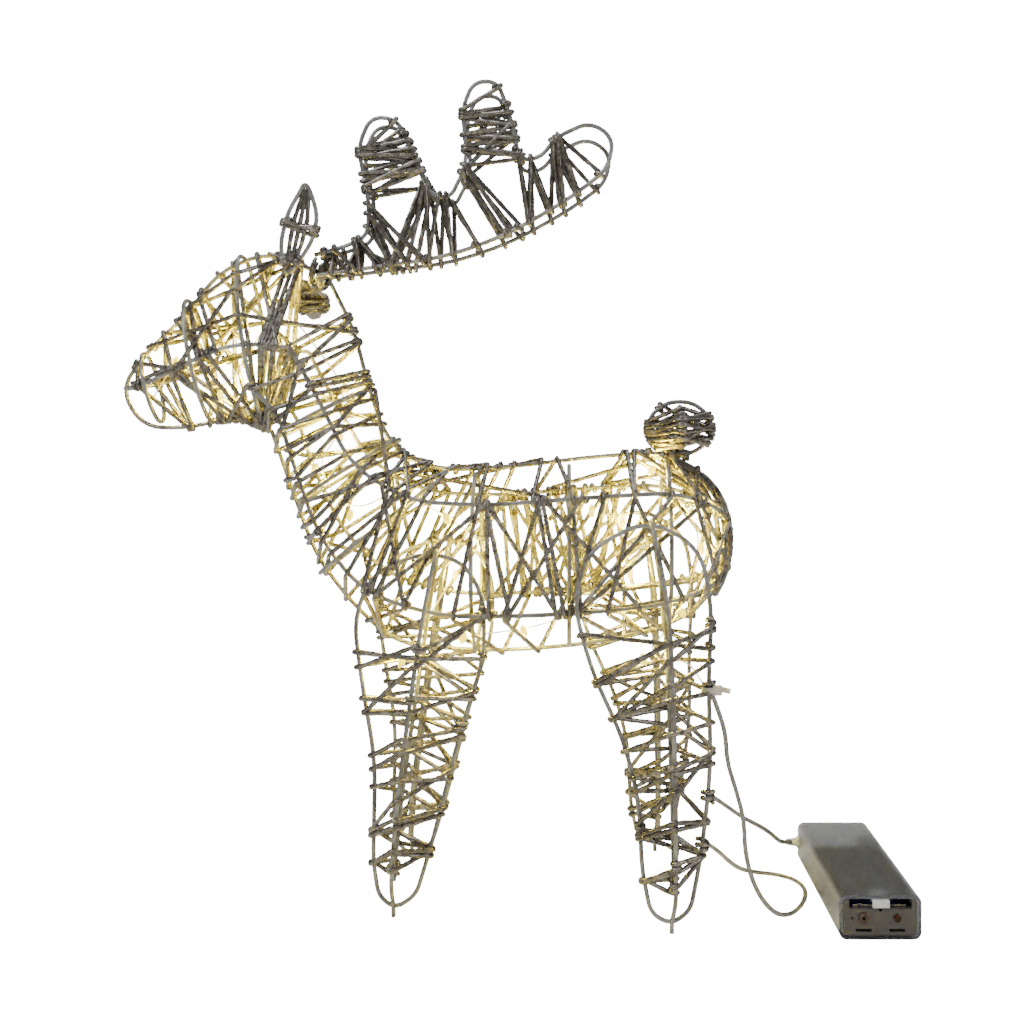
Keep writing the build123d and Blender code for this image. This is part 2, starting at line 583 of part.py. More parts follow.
def electronics():
    """The board behind the holder, its timer chip, the slide switch and its slider."""
    board_y = BOX_REAR_Y - BOX_WALL - BOARD[1] - 4
    board_z = BOX_WALL + 2.5
    board = block(BOARD[0], BOARD[1], BOARD[2], board_y, board_z)
    posts = Compound([block(3, 3, 2.5, board_y + 1 + k * 11, BOX_WALL, x) for x in (-9, 9) for k in (0, 1)])
    chip = block(5, 4, 1.5, board_y + 6, board_z + BOARD[2], -5)
    switch_x = BOX_WIDTH / 2 - BOX_WALL - 3.4
    body = block(5.0, 9.0, 8.0, SWITCH_Y - 2.5, board_z + BOARD[2], switch_x)
    channel = Pos(BOX_MIDDLE_X + BOX_WIDTH / 2 - BOX_WALL - 0.9, SWITCH_Y + 2, SWITCH_Z)
    body -= channel * Box(4.0, 9.4, 3.4)
    slider = Pos(BOX_MIDDLE_X + BOX_WIDTH / 2 - 0.6, SWITCH_Y, SWITCH_Z) * Box(4.4, 3.0, 3.0)
    slider = fillet(slider.faces().sort_by(Axis.X)[-1].edges(), 0.5)
    return {"circuit_board": board, "board_posts": posts, "timer_chip": chip,
            "switch_body": body, "switch_slider": slider}


def lead_gland():
    """The soft tapered collar that holds the lead where it enters the housing."""
    outside = Pos(BOX_MIDDLE_X - BOX_WIDTH / 2, LEAD_ENTRY_Y, LEAD_ENTRY_Z) * Rot(0, -90, 0)
    upwards = (Align.CENTER, Align.CENTER, Align.MIN)
    collar = Pos(0, 0, -BOX_WALL - 1) * Cylinder(1.95, BOX_WALL + 1, align=upwards)
    collar += Cylinder(3.0, 1.2, align=upwards)
    collar += Cone(2.5, 1.6, GLAND_LENGTH, align=upwards)
    return outside * collar


def battery_box():
    return {
        "battery_housing": housing(),
        "battery_holder": holder(),
        "latch_tongue": latch_tongue(),
        "battery_cells": battery_cells(),
        "lead_gland": lead_gland(),
        **contacts(),
        **terminals(),
        **electronics(),
    }


# --- assembly ------------------------------------------------------------------------------------

def main():
    parts = {
        **middle_wires(), **side_wires(), **hoops(), **legs(), **antlers(), **ears(), **tail(),
        **body_strands(), **lights(), **leads(), **tie(), **battery_box(),
    }
    whole = Compound([shape for name, shape in parts.items() if name not in FREE_LEADS]).bounding_box()
    home = Pos(-whole.center().X, -whole.center().Y, -whole.min.Z)
    print("moved by", home.position)
    os.makedirs("parts", exist_ok=True)
    for name, shape in parts.items():
        export_step(home * shape, f"parts/{name}.step")


main()
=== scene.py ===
import math
import random

import bpy
import numpy as np
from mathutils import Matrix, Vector


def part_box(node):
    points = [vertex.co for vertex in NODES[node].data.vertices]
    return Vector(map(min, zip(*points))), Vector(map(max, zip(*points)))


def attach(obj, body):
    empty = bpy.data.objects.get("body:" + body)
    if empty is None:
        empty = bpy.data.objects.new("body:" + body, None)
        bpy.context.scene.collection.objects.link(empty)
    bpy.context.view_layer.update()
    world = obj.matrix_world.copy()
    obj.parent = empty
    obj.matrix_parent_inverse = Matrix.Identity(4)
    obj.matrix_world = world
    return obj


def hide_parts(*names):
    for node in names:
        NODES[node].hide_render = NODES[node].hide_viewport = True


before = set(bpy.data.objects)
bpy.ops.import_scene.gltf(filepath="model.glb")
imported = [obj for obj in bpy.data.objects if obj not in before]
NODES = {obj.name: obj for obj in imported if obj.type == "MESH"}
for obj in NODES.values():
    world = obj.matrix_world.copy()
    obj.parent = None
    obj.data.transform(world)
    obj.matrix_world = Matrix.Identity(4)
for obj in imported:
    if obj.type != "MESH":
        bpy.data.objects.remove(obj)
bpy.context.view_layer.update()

# Battery-lit table reindeer: the looks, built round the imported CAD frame. Lengths are in metres. Points
# are in millimetres about the reindeer's own middle, as in part.py, until home() places them.
MM = 0.001
SIGNS = {"left": -1, "right": 1}  # which way each side lies from the middle plane
SIDEWAYS = np.array((0.0, 1.0, 0.0))
LENGTHWAYS = np.array((1.0, 0, 0))
UPWARDS = np.array((0, 0, 1.0))
ASKEW = (0.3, 0.9, 0.2)  # a direction that no wire runs in
SAME_PLACE = 1e-7  # points closer than this are one
LEAST_LENGTH = 1e-12  # nothing is divided by a smaller length
LEAST_AREA = 1e-15  # nor by a smaller area
LEAST_CORNER = 1e-9  # a hull's corner that is flatter than this is left out

# Wire, strand and lead
WIRE = 2.2 * MM  # frame wire diameter, as in the CAD
STRAND = 2.55 * MM  # width of the wound strand
STRAND_THICKNESS = 0.86  # as a share of its width
STRAND_SIDES = 8
STRAND_TWIST = 2 * math.pi / (16 * MM)  # radians for each metre
STRAND_STEP = 0.9 * MM  # between rings of its mesh
PRESSED = 0.5 * MM  # how much closer to a wire it lies when it is pulled tight
SLACK = 0.15  # mm that a turn may lie further out
LEAD = 2.4 * MM  # width of the flat lead
LEAD_THICKNESS = 0.88
LEAD_SIDES = 14
LEAD_TWIST = 24.0
LEAD_STEP = 1.2 * MM

# part.py draws the reindeer about its own middle and then moves it along X with the battery box
BOX_LOW_X = 123 * MM  # the housing's low side as part.py draws it
HOME_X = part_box("battery_housing")[0].x - BOX_LOW_X

# Camera
EYE_DISTANCE = 0.623
EYE_HEIGHT = 0.235
LENS = 44.05
SENSOR_WIDTH = 36
NEAREST_SEEN = 0.01
FRAMING = (-0.0518, -0.0938)  # how far the picture is shifted, which keeps upright lines upright

# Studio
PAGE_WHITE = 20.0  # brightness of the background in the camera's eye
FLOOR_REACH = 8.0
ROOM_LEVELS = ((0.0, 0.16), (0.35, 0.08), (0.6, 0.12), (0.75, 0.9), (1.0, 1.0))  # from the horizon up
STUDIO_LIGHTS = {  # place, aim, size and power
    "key": ((-0.8, -0.9, 1.2), (0, 0, 0.2), 0.5, 19),
    "fill": ((1.1, -0.7, 0.5), (0, 0, 0.15), 0.4, 6.5),
    "rim": ((0.2, 0.5, 1.5), (0, 0, 0.2), 0.7, 7),
}

# Bulbs: a bead's outline has its radius and height in mm
BULB_APART = 6 * MM  # vertices nearer to each other than this are on one bulb
BEAD_SIDES = 12
BEAD_LOBES = 3
BEAD_SWELL = 0.06  # share of its radius by which each lobe stands out
BEAD_TURN = 6  # radians within which the lobes are turned
BEAD_TILT = 0.5  # how far a bead leans at most, for each length up
BEAD_OUTLINE = [(0.35, -3.3), (0.6, -2.9), (1.15, -2.2), (1.55, -1.2), (1.65, 0), (1.5, 1.2), (1.05, 2.2),
                (0.6, 2.9), (0.35, 3.3)]
LAMP_POWER = 0.37
LAMP_COLOUR = (1.0, 0.76, 0.03)
LAMP_RADIUS = 3 * MM
BULB_SEED = 5  # of the random draws

# How the strand is wound
FIRST_SEED = 11  # of the random draws, for the first winding
PEG_REACH = 0.04  # how far from a place its wire is looked for
SAME_WIRE = 2.2 * WIRE  # cut points nearer to each other than this are on one wire
WIDEST_CUT = 2.4 * WIRE  # a wider cut runs along its wire and is left out
LEAST_SLIDE = 0.2 * MM
LEAST_LEAN = 0.35  # a wire that lies flatter than this in a turn's plane keeps its peg in place
SLIDE_ERROR = 5 * MM  # a slid peg that is further from its goal is on another wire
AXIS_STEP = 2 * MM
AXIS_ROUNDS = 40  # of smoothing
AXIS_SPAN = 4  # steps each way that the direction of an axis is taken over
TURN_JITTER = 0.35  # share of the pitch by which a turn's start varies
SWING = 9  # degrees each way that a turn's plane is swung sideways
PULLS = 2  # times a turn that twist pulls it each way
KNOT_DRIFT = 1.1  # widths of strand that a whole turn round a wire moves along it
WIDEST_BEND = 1.5 * math.pi  # more than this round a wire means that the strand only touches it
ARC_STEP = 0.5  # radians between points round a wire
COIL_POINTS = 12  # for each turn
SPAN_KNOTS = 0.08  # share of whole turns in the long spans and in the antlers' fans

TRUNK = ["spine_wire", "belly_wire"] + [f"{rail}_rail_{s}" for rail in ("upper", "lower") for s in SIGNS]
SKULL = ["head_wire", "cheek_wire_left", "cheek_wire_right"]
CAGE = TRUNK + SKULL + ["brow_hoop", "face_hoop", "chest_hoop", "shoulder_hoop", "hip_hoop"]
CAGE += [f"{end}_leg_loop_{s}" for end in ("front", "rear") for s in SIGNS]

# Each part's windings have layers, given as turns, range of lean in degrees, mm of twist and share of
# whole turns, an axis, and the reach within which a turn looks for its wires.

# Body
BODY_HOOPS = ("chest_hoop", "shoulder_hoop", "waist_hoop", "hip_hoop")
BODY_END = (22 * MM, 0, 3 * MM)  # where the axis ends, from the last hoop
BODY_REACH = 0.075
BODY_LAYERS = ((5, (2, 14), 8, 0.06), (4, (-34, -14), 6, 0.04), (3, (16, 36), 6, 0.04))
BODY_SHIFTS = (-7, 6, 13)  # mm along the body of each far-side copy of the spans
BODY_SPANS = [  # long single strands of the near side, from wire to wire
    [(-38, 38, 193), (-34, 38, 139)],
    [(-35, 38, 193), (-27, 38, 140)],
    [(-37, 38, 193), (-2, 38, 141)],
    [(-14, 38, 195), (-3, 38, 142)],
    [(-9, 38, 195), (1, 38, 143)],
    [(17, 38, 197), (3, 38, 143)],
    [(9, 38, 197), (-28, 38, 140)],
    [(49, 35, 200), (5, 38, 144)],
    [(66, 25, 194), (9, 38, 144)],
    [(35, 0, 212), (78, 15, 188)],
    [(5, 38, 144), (68, 25, 152)],
    [(6, 47, 133), (69, 45, 129)],
    [(-87, 36, 152), (-38, 38, 193)],
    [(-62, 36, 171), (-39, 0, 208)],
    [(-62, 36, 171), (-74, 38, 144)],
    [(-84, 0, 218), (-74, 36, 195), (-92, 36, 152)],
]

# Rump: x, z and spread of the strands that run side by side down from the tail's foot
RUMP_CURVE = [(57, 212, 0.15), (69, 206.5, 0.4), (76, 199, 0.7), (81.5, 187, 0.95), (83, 172, 1),
              (81, 158, 0.85), (75, 146, 0.45)]
RUMP_COUNT = 9
RUMP_FIRST = 1.0  # mm from the middle plane to the first strand
RUMP_GAP = 1.7  # mm from each strand to the next
RUMP_BEND = 0.15  # mm that a strand lies further forward, for the square of its number
RUMP_STEP = 1 * MM
RUMP_ROUNDS = 60

# Neck
NECK_AXIS = [(-132, 0, 258), (-120, 0, 235), (-107, 0, 208), (-92, 0, 184)]
NECK_REACH = 0.06
NECK_LAYERS = ((8, (-8, 6), 4, 0.08), (4, (8, 26), 4, 0.05), (4, (-26, -10), 4, 0.05))

# Head, with a tight bundle of turns at the cheek, the crown's strands and the coils at the antlers' root
HEAD_AXIS = [(-213, 0, 250), (-181, 0, 262), (-155, 0, 272), (-142, 0, 272)]
HEAD_REACH = 0.055
HEAD_LAYERS = ((5, (-10, 10), 4, 0.1), (2, (14, 40), 4, 0.08), (2, (-40, -14), 4, 0.08))
BUNDLE_AXIS = [(-145.5, 0, 270.5), (-138.5, 0, 268.9)]
BUNDLE_REACH = 0.06
BUNDLE_LAYERS = ((4, (-2, 2), 0, 0.2),)
BUNDLE_SWING = 2
CROWN_OFFSETS = (-2.6, -1.2, 1.2, 2.6)
CROWN_CURVE = [(-147, 1, 315.5), (-134, 2, 311), (-119, 1, 305)]  # x, times the offset, and z
CROWN_ROUNDS = 20
ROOT_PLACE = (-121, 0, 305)
ROOT_DIRECTION = (1, 0, -0.35)
ROOT_COILS = ((3, 4.8 * MM, STRAND), (2, 6.8 * MM, 2 * STRAND))  # turns, radius and pitch
HEAD_SHIFTS = (-6, 5)
HEAD_SPANS = [
    [(-203, 0, 269), (-158, 23, 283), (-105, 0, 277)],
    [(-184, 19, 260), (-158, 20, 296), (-138, 0, 314)],
    [(-166, 0, 236), (-152, 18, 250), (-124, 21, 256), (-103, 0, 272)],
    [(-148, 0, 229), (-138, 20, 238), (-119, 21, 245), (-98, 0, 253)],
    [(-180, 0, 296), (-168, 22, 266)],
    [(-187, 0, 286), (-176, 20, 263), (-170, 0, 234)],
    [(-186, 0, 288), (-159, 18, 303), (-136, 0, 313)],
    [(-210, 4, 250), (-190, 17, 257), (-156, 0, 234)],
    [(-146, 0, 229), (-132, 22, 266), (-107, 0, 284)],
]

# Legs
LEG_HEIGHTS = (136, 100, 60, 34)  # where the middle of the side loop is taken
LOOP_REACH = 0.2
LEG_REACH = 0.05
LEG_LOWEST = 11 * MM  # no strand is wound below this
LEG_LAYERS = ((6, (-10, 10), 2, 0.1), (5, (-14, 14), 2, 0.06), (3, (-26, 26), 3, 0.06))
HOLDING_TURNS = 2  # where the strand holds the lead to the leg
HOLDING_GAP = 0.2 * MM

# Antlers
ANTLER_ROOT_X = -122
ANTLER_ROOT_Y = 7.5
ANTLER_SPREAD = 0.078  # how much further out an antler is for each mm towards the rear
ANTLER_CORE = ((-120, 309), (-80, 325), (-30, 340), (16, 362))
# Fans of strand between the antler's edges: from and to along the upper edge, the same along the lower
# one, and the number of spans each way
ANTLER_FANS = [
    ((-95, 326), (-97, 344), (-92, 308), (-66, 310), 3),
    ((-73, 350), (-54, 344), (-93, 308), (-40, 316), 5),
    ((-48, 352), (-47, 360), (-36, 318), (-18, 326), 2),
    ((-22, 364), (2, 371), (-22, 324), (18, 351), 5),
]
FAN_JITTER = 0.4  # share of a span's pitch
TINE_AXES = [((-84, 347), (-88, 369)), ((-37, 356), (-40, 384))]
TINE_REACH = 0.019
TINE_LAYERS = ((6, (-12, 12), 2, 0.04), (2, (-34, 34), 0, 0.04))
STEM_AXIS = ((-119, 309), (-98, 314))
STEM_REACH = 0.012
STEM_LAYERS = ((4, (-24, 24), 1, 0.1), (2, (-34, 34), 1, 0.05))

# Ears
EAR_LEAN = {"left": 4, "right": 112}  # degrees outwards from upright
EAR_SWING = {"left": 0, "right": 16}  # degrees towards the nose
EAR_FOOT = (-134, 16, 304)
EAR_SLOPE = 0.23  # how much further back the middle line is for each mm up
EAR_TURNS = {  # lowest and highest turn, and how many turns
    "left": ((306, 312, 4), (325, 329, 3)),
    "right": ((306, 314, 4), (322, 338, 5)),
}
EAR_REACH = 0.016
EAR_LEANS = (-14, 14)
EAR_KNOTS = 0.1  # share of whole turns
EAR_ACROSS = np.array((1.0, 0.02, 0.01))  # an ear's turns are swung towards this, not sideways
EAR_LONG = {  # how far from the middle line each long strand lies
    "left": (-2.8, 0.4, 3.6),
    "right": (-7, -4.5, -2, 0.5, 3, 5.5, 7.5),
}
EAR_CURVE = ((0.3, 305), (0.9, 318), (1, 330), (0.25, 345))  # share of that distance at each height

# Tail
TAIL_AXIS = (-13 * MM, 4.5 * MM)  # its ends, from the middle
TAIL_REACH = 0.03
TAIL_SWING = 14
TAIL_LAYERS = ((6, (-12, 12), 2, 0.1), (4, (-30, 30), 2, 0.1), (4, (-18, 18), 2, 0.1))

# Lead
LOOP_ROUTE = [(66.5, -47.5, 110), (69.5, -48.5, 102), (73.5, -49.5, 90), (74, -50, 77), (78.5, -50.5, 63),
              (81.8, -50.5, 50), (82.2, -50, 37), (85, -49.5, 24), (90.5, -47.5, 12.5), (98, -43, 4),
              (106, -35.5, 1.2), (112.5, -25.5, 1.2), (117, -14, 1.2), (118.8, -2, 1.2), (116, 9, 1.2),
              (108.5, 16, 1.2), (98.5, 16.5, 2), (90, 9, 6), (84, -5, 13), (78, -20, 21.5),
              (72, -36, 31), (65.6, -49.6, 39)]
BOX_ROUTE = [(67.5, -51, 61), (73, -42, 55.5), (80, -29, 47.5), (87.5, -15, 39.5), (95.5, -1, 32),
             (103, 12, 24.5), (109, 23.5, 17), (113.5, 32.5, 11.8), (120.5, 36, 11)]
LEAD_HELD = [LOOP_ROUTE[0], LOOP_ROUTE[-1], BOX_ROUTE[0]]  # where the strand binds the lead to the leg
ROUTE_POINTS = 12  # of the smooth line for each point of its route

# Names of the nodes that are bare frame wire
FRAME_WORDS = ("_wire", "_rail", "hoop", "leg_loop", "hairpin", "tail_loops")


def home(x, y, z):
    """The place of a point that is given in millimetres about the reindeer's own middle."""
    return np.array((HOME_X + x * MM, y * MM, z * MM))


# --- camera, floor and light ----------------------------------------------------------------------

def add_object(name, data):
    made = bpy.data.objects.new(name, data)
    bpy.context.scene.collection.objects.link(made)
    return made


def make_camera():
    camera = add_object("camera", bpy.data.cameras.new("camera"))
    camera.location = (HOME_X, -EYE_DISTANCE, EYE_HEIGHT)
    camera.rotation_euler = (math.pi / 2, 0, 0)
    camera.data.lens = LENS
    camera.data.shift_x, camera.data.shift_y = FRAMING
    camera.data.sensor_width = SENSOR_WIDTH
    camera.data.clip_start = NEAREST_SEEN
    bpy.context.scene.camera = camera


def area_light(name, place, aim, size, power):
    light = add_object(name, bpy.data.lights.new(name, "AREA"))
    light.location = place
    light.rotation_euler = (Vector(aim) - Vector(place)).to_track_quat("-Z", "Y").to_euler()
    light.data.size = size
    light.data.energy = power


def rgba(colour):
    """A colour or a grey level as an opaque colour."""
    return (colour, colour, colour, 1) if isinstance(colour, float) else (*colour, 1)


def set_stops(ramp, stops):
    """Gives a colour ramp its stops, each a position and a colour or a grey level."""
    elements = ramp.color_ramp.elements
    for element, (position, colour) in zip(elements, (stops[0], stops[-1])):
        element.position = position
        element.color = rgba(colour)
    for position, colour in stops[1:-1]:
        elements.new(position).color = rgba(colour)


def make_world():
    """A soft studio for the object's reflections, and a white page behind it for the camera."""
    world = bpy.data.worlds.new("studio")
    bpy.context.scene.world = world
    world.use_nodes = True
    tree = world.node_tree
    room = tree.nodes["Background"]
    page = tree.nodes.new("ShaderNodeBackground")
    coords = tree.nodes.new("ShaderNodeTexCoord")
    split = tree.nodes.new("ShaderNodeSeparateXYZ")
    ramp = tree.nodes.new("ShaderNodeValToRGB")
    tree.links.new(coords.outputs["Generated"], split.inputs[0])
    tree.links.new(split.outputs["Z"], ramp.inputs["Fac"])
    tree.links.new(ramp.outputs["Color"], room.inputs["Color"])
    set_stops(ramp, ROOM_LEVELS)
    room.inputs["Strength"].default_value = 1.0
    page.inputs["Strength"].default_value = PAGE_WHITE
    ray = tree.nodes.new("ShaderNodeLightPath")
    mix = tree.nodes.new("ShaderNodeMixShader")
    tree.links.new(ray.outputs["Is Camera Ray"], mix.inputs[0])
    tree.links.new(room.outputs[0], mix.inputs[1])
    tree.links.new(page.outputs[0], mix.inputs[2])
    tree.links.new(mix.outputs[0], tree.nodes["World Output"].inputs["Surface"])


def make_floor():
    """A matt floor that the camera sees as part of the white page."""
    floor = add_object("floor", bpy.data.meshes.new("floor"))
    corners = [(x * FLOOR_REACH, y * FLOOR_REACH, 0) for x, y in ((-1, -1), (1, -1), (1, 1), (-1, 1))]
    floor.data.from_pydata(corners, [], [(0, 1, 2, 3)])
    m = Material("floor_paint").set(Roughness=0.9, Base_Color=rgba(0.9), Emission_Color=rgba(1.0))
    ray = m.tree.nodes.new("ShaderNodeLightPath")
    glow = m.tree.nodes.new("ShaderNodeMath")
    glow.operation = "MULTIPLY"
    glow.inputs[1].default_value = PAGE_WHITE
    m.tree.links.new(ray.outputs["Is Camera Ray"], glow.inputs[0])
    m.drive("Emission Strength", glow.outputs[0])
    floor.data.materials.append(m.material)


def make_studio():
    make_world()
    make_floor()
    for name, values in STUDIO_LIGHTS.items():
        area_light(name, *values)


# --- materials ------------------------------------------------------------------------------------

class Material:
    """A node material, with short ways to add the textures that every finish here needs."""

    def __init__(self, name):
        self.material = bpy.data.materials.new(name)
        self.material.use_nodes = True
        self.tree = self.material.node_tree
        self.shader = self.tree.nodes["Principled BSDF"]
        self.coords = self.tree.nodes.new("ShaderNodeTexCoord").outputs["Object"]

    def set(self, **values):
        for name, value in values.items():
            self.shader.inputs[name.replace("_", " ")].default_value = value
        return self

    def noise(self, scale, detail, rough=0.6):
        noise = self.tree.nodes.new("ShaderNodeTexNoise")
        noise.inputs["Scale"].default_value = scale
        noise.inputs["Detail"].default_value = detail
        noise.inputs["Roughness"].default_value = rough
        self.tree.links.new(self.coords, noise.inputs["Vector"])
        return noise.outputs["Fac"]

    def ramp(self, source, *stops):
        """Colour or grey stops along a value from 0 to 1."""
        ramp = self.tree.nodes.new("ShaderNodeValToRGB")
        set_stops(ramp, stops)
        self.tree.links.new(source, ramp.inputs["Fac"])
        return ramp.outputs["Color"]

    def mix(self, share, first, second):
        """A textured colour that gives way to a plain one where the share is high."""
        node = self.tree.nodes.new("ShaderNodeMix")
        node.data_type = "RGBA"
        self.tree.links.new(share, node.inputs["Factor"])
        self.tree.links.new(first, node.inputs["A"])
        node.inputs["B"].default_value = rgba(second)
        return node.outputs["Result"]

    def drive(self, name, source):
        self.tree.links.new(source, self.shader.inputs[name])

    def bump(self, source, strength, distance):
        node = self.tree.nodes.new("ShaderNodeBump")
        node.inputs["Strength"].default_value = strength
        node.inputs["Distance"].default_value = distance
        self.tree.links.new(source, node.inputs["Height"])
        self.tree.links.new(node.outputs["Normal"], self.shader.inputs["Normal"])


def wire_finish():
    """Dull grey paint over wire, with darker and worn spots."""
    dark, middle, light = (0.07, 0.065, 0.058), (0.15, 0.148, 0.14), (0.24, 0.24, 0.235)
    m = Material("frame_wire_grey").set(Metallic=0.35, Coat_Weight=0.25, Coat_Roughness=0.25)
    stains = m.noise(scale=70, detail=6)
    fine = m.noise(scale=700, detail=3)
    base = m.ramp(stains, (0.34, dark), (0.5, middle), (0.68, light))
    worn = m.ramp(fine, (0.6, 0.0), (0.76, 0.4))
    m.drive("Base Color", m.mix(worn, base, (0.4, 0.4, 0.38)))
    m.drive("Roughness", m.ramp(stains, (0.3, 0.5), (0.75, 0.32)))
    m.bump(fine, strength=0.2, distance=0.05 * MM)
    return m.material


def strand_finish():
    """Two tinned cores in a clear sheath: grey metal, with painted shade for the gaps between the cores and
    painted glints as random flecks of the base colour, and patches of painted shade.
    """
    dark, middle, light = (0.045, 0.039, 0.031), (0.1, 0.09, 0.072), (0.27, 0.245, 0.2)
    m = Material("wound_strand_silver").set(Metallic=0.35, Coat_Weight=0.7, Coat_Roughness=0.14)
    glint_and_gap_flecks = m.noise(scale=230, detail=5, rough=0.7)
    shade_patches = m.noise(scale=45, detail=3)
    # Base colour: the dark flecks are painted shade for the gaps between the cores, and the light flecks
    # are painted glints
    base = m.ramp(glint_and_gap_flecks, (0.36, dark), (0.52, middle), (0.7, light))
    # Larger patches are darkened towards a painted shade colour
    painted_shade_share = m.ramp(shade_patches, (0.42, 0.0), (0.6, 0.7))
    m.drive("Base Color", m.mix(painted_shade_share, base, (0.046, 0.039, 0.03)))
    m.drive("Roughness", m.ramp(glint_and_gap_flecks, (0.35, 0.22), (0.7, 0.4)))
    m.bump(glint_and_gap_flecks, strength=0.15, distance=0.05 * MM)
    return m.material


def lead_finish():
    """A clear sheath over fine grey cores."""
    m = Material("lead_clear_sheath").set(Metallic=0.2, Coat_Weight=0.3, Coat_Roughness=0.3)
    cores = m.noise(scale=1100, detail=4)
    m.drive("Base Color", m.ramp(cores, (0.38, (0.1, 0.096, 0.086)), (0.62, (0.21, 0.205, 0.19))))
    m.drive("Roughness", m.ramp(cores, (0.3, 0.25), (0.7, 0.5)))
    m.bump(cores, strength=0.3, distance=0.1 * MM)
    return m.material


def bulb_finish():
    """A resin bead that glows from inside."""
    m = Material("bulb_bead_lit").set(Roughness=0.12, Emission_Strength=2.5)
    swirl = m.noise(scale=500, detail=2)
    m.drive("Base Color", m.ramp(swirl, (0.3, (0.6, 0.4, 0.02)), (0.7, (0.75, 0.55, 0.06))))
    m.drive("Emission Color", m.ramp(swirl, (0.3, (1.0, 0.84, 0.0)), (0.7, (1.0, 0.9, 0.02))))
    m.bump(swirl, strength=0.2, distance=0.1 * MM)
    return m.material


def frosted_finish():
    """Clear plastic with an even matt skin, so that what is inside shows only as soft shapes."""
    m = Material("housing_frosted").set(Transmission_Weight=0.96, IOR=1.2)
    skin = m.noise(scale=900, detail=3)
    m.drive("Base Color", m.ramp(skin, (0.3, (0.48, 0.5, 0.55)), (0.7, (0.54, 0.56, 0.61))))
    m.drive("Roughness", m.ramp(skin, (0.3, 0.27), (0.7, 0.33)))
    m.bump(skin, strength=0.05, distance=0.02 * MM)
    return m.material


def moulded(name, low, high, roughness=(0.35, 0.55), **values):
    """Moulded plastic: a slight colour change, a fine grain and roughness that varies."""
    m = Material(name).set(**values)
    cloud = m.noise(scale=160, detail=4)
    fine = m.noise(scale=1200, detail=2)
    m.drive("Base Color", m.ramp(cloud, (0.35, low), (0.65, high)))
    m.drive("Roughness", m.ramp(cloud, (0.3, roughness[0]), (0.7, roughness[1])))
    m.bump(fine, strength=0.2, distance=0.05 * MM)
    return m.material


def string_finish():
    return moulded("string_clear", (0.36, 0.3, 0.19), (0.56, 0.49, 0.34), Coat_Weight=0.5)


def tie_finish():
    return moulded("tie_nylon", (0.36, 0.34, 0.27), (0.46, 0.44, 0.36), Subsurface_Weight=0.1)


def tongue_finish():
    return moulded("tongue_milky", (0.42, 0.42, 0.41), (0.52, 0.52, 0.51), roughness=(0.25, 0.4))


def holder_finish():
    return moulded("holder_beige", (0.029, 0.026, 0.022), (0.04, 0.037, 0.031), roughness=(0.35, 0.5))


def cell_finish():
    return moulded("cell_sleeve", (0.012, 0.018, 0.05), (0.025, 0.035, 0.09), roughness=(0.3, 0.45),
                   Metallic=0.2)


def board_finish():
    return moulded("board_white", (0.5, 0.51, 0.5), (0.62, 0.63, 0.62))


def chip_finish():
    return moulded("part_black", (0.02, 0.02, 0.02), (0.05, 0.05, 0.05))


def gland_finish():
    return moulded("gland_soft", (0.45, 0.45, 0.44), (0.6, 0.6, 0.58))


def plated(name, low, high, roughness=(0.3, 0.5)):
    """Plated or bare metal with faint stains."""
    m = Material(name).set(Metallic=1.0)
    stains = m.noise(scale=420, detail=5)
    m.drive("Base Color", m.ramp(stains, (0.35, low), (0.65, high)))
    m.drive("Roughness", m.ramp(stains, (0.3, roughness[0]), (0.7, roughness[1])))
    m.bump(m.noise(scale=2500, detail=2), strength=0.2, distance=0.03 * MM)
    return m.material


def eyelet_finish():
    return plated("eyelet_bronze", (0.035, 0.026, 0.022), (0.085, 0.066, 0.056))


def rivet_finish():
    return plated("rivet_brass", (0.024, 0.013, 0.009), (0.055, 0.03, 0.018))


def contact_finish():
    return plated("contact_nickel", (0.22, 0.21, 0.19), (0.4, 0.39, 0.36), roughness=(0.18, 0.4))


def paint(finish, *nodes):
    for node in nodes:
        mesh = NODES[node].data
        mesh.materials.clear()
        mesh.materials.append(finish)


def paint_cad():
    """A finish for every CAD node that keeps its shape."""
    paint(wire_finish(), *(n for n in NODES if any(word in n for word in FRAME_WORDS)))
    paint(string_finish(), "light_string")
    paint(tie_finish(), "cable_tie")
    paint(frosted_finish(), "battery_housing")
    paint(tongue_finish(), "board_posts", "latch_tongue")
    paint(holder_finish(), "battery_holder")
    paint(cell_finish(), "battery_cells")
    paint(eyelet_finish(), "terminal_eyelet")
    paint(contact_finish(), "contact_plates", "contact_springs")
    paint(rivet_finish(), "terminal_rivet")
    paint(board_finish(), "circuit_board")
    paint(chip_finish(), "timer_chip", "switch_body", "switch_slider")
    paint(gland_finish(), "lead_gland")


# --- meshes ---------------------------------------------------------------------------------------

def add_piece(name, vertices, faces, finish, slot):
    mesh = bpy.data.meshes.new(name)
    mesh.from_pydata([tuple(v) for v in vertices], [], faces)
    mesh.validate()
    piece = add_object(name, mesh)
    mesh.materials.append(finish)
    mesh.polygons.foreach_set("use_smooth", [True] * len(mesh.polygons))
    return piece


def joined(solids):
    """The vertices and faces of several solids as those of one."""
    vertices, faces = [], []
    for made, sides in solids:
        faces += [tuple(i + len(vertices) for i in face) for face in sides]
        vertices += list(made)
    return vertices, faces


def length_of(line):
    return np.linalg.norm(np.diff(line, axis=0), axis=1)


def resample(points, step):
    """A line in even steps of about the given length, with at least three points."""
    points = np.asarray(points, float)
    points = points[np.concatenate([[True], length_of(points) > SAME_PLACE])]
    travelled = np.concatenate([[0], np.cumsum(length_of(points))])
    at = np.linspace(0, travelled[-1], max(3, int(travelled[-1] / step) + 1))
    return np.stack([np.interp(at, travelled, points[:, k]) for k in range(3)], axis=1)


